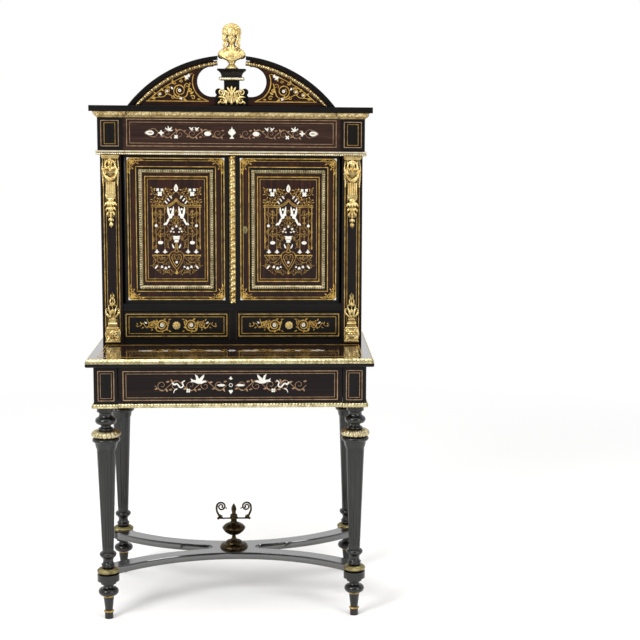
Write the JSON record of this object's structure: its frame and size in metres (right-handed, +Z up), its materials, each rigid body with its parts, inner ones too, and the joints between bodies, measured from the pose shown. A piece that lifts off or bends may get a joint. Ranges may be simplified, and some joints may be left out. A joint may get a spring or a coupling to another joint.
{
  "type": "writing cabinet on a table",
  "caption": "Ebonised writing cabinet on a table with turned fluted legs, bowed stretcher, inlaid doors and drawers, gilt mounts and a broken arched pediment with a bust.",
  "frame": {"origin": "on the floor, under the middle of the bounding box", "axes": "+X to the right as seen from the front, +Y to the back, +Z up"},
  "size_m": [0.817, 0.53, 1.696],
  "materials": {
    "ebonised_wood": "ebonised, satin polish",
    "rosewood_veneer": "dark veneer, French polish",
    "carcass_wood": "waxed hardwood",
    "gilt_bronze": "gilt, softly burnished",
    "aged_brass": "tarnished",
    "patinated_bronze": "dark brown patina",
    "steel": "bright steel"
  },
  "bodies": {
    "carcass": {"leg_feet": "ebonised_wood", "foot_rings": "gilt_bronze", "ankle_collars": "aged_brass", "leg_shafts": "ebonised_wood", "knee_collars": "gilt_bronze", "leg_knobs": "ebonised_wood", "stretcher": "ebonised_wood", "stretcher_urn": "patinated_bronze", "corner_posts": "ebonised_wood", "apron_side_rails": "ebonised_wood", "apron_back_rail": "ebonised_wood", "drawer_runners": "carcass_wood", "table_top": "rosewood_veneer", "table_edge_moulding": "gilt_bronze", "apron_base_moulding": "gilt_bronze", "cabinet_sides": "ebonised_wood", "cabinet_back": "carcass_wood", "cabinet_floor": "ebonised_wood", "drawer_guides": "carcass_wood", "cupboard_floor": "ebonised_wood", "cupboard_shelf": "carcass_wood", "architrave_board": "ebonised_wood", "pilaster_left": "ebonised_wood", "pilaster_right": "ebonised_wood", "pilaster_upper_mounts": "gilt_bronze", "pilaster_lower_mounts": "gilt_bronze", "door_pivots": "steel", "frieze_boards": "rosewood_veneer", "frieze_ends": "ebonised_wood", "bead_moulding": "gilt_bronze", "cornice_moulding": "gilt_bronze", "cornice_slab": "ebonised_wood", "tympanum": "rosewood_veneer", "pediment_arches": "ebonised_wood", "pediment_gilt_mouldings": "gilt_bronze", "pedestal": "ebonised_wood", "pedestal_ring": "gilt_bronze", "pedestal_cap": "ebonised_wood", "pedestal_mask": "gilt_bronze", "bust": "gilt_bronze"},
    "left_door": {"left_door_frame": "rosewood_veneer", "left_door_panel": "rosewood_veneer", "left_door_moulding": "gilt_bronze", "left_door_sockets": "steel"},
    "right_door": {"right_door_frame": "rosewood_veneer", "right_door_panel": "rosewood_veneer", "right_door_moulding": "gilt_bronze", "right_door_sockets": "steel", "door_astragal": "gilt_bronze", "door_lock": "steel"},
    "left_drawer": {"left_drawer_front": "rosewood_veneer", "left_drawer_box": "carcass_wood", "left_drawer_knob": "gilt_bronze"},
    "right_drawer": {"right_drawer_front": "rosewood_veneer", "right_drawer_box": "carcass_wood", "right_drawer_knob": "gilt_bronze"},
    "apron_drawer": {"apron_drawer_front": "rosewood_veneer", "apron_drawer_box": "carcass_wood", "apron_drawer_moulding": "gilt_bronze"}
  },
  "joints": [
    {"name": "left_door_hinge", "type": "hinge", "parent": "carcass", "child": "left_door", "pos_m": [-0.309, 0.024, 1.0985], "axis": [0, 0, -1], "range_deg": [0, 90]},
    {"name": "right_door_hinge", "type": "hinge", "parent": "carcass", "child": "right_door", "pos_m": [0.309, 0.024, 1.0985], "axis": [0, 0, 1], "range_deg": [0, 90]},
    {"name": "left_drawer_slide", "type": "slide", "parent": "carcass", "child": "left_drawer", "axis": [0, -1, 0], "range_m": [0, 0.16]},
    {"name": "right_drawer_slide", "type": "slide", "parent": "carcass", "child": "right_drawer", "axis": [0, -1, 0], "range_m": [0, 0.16]},
    {"name": "apron_drawer_slide", "type": "slide", "parent": "carcass", "child": "apron_drawer", "axis": [0, -1, 0], "range_m": [0, 0.28]}
  ]
}
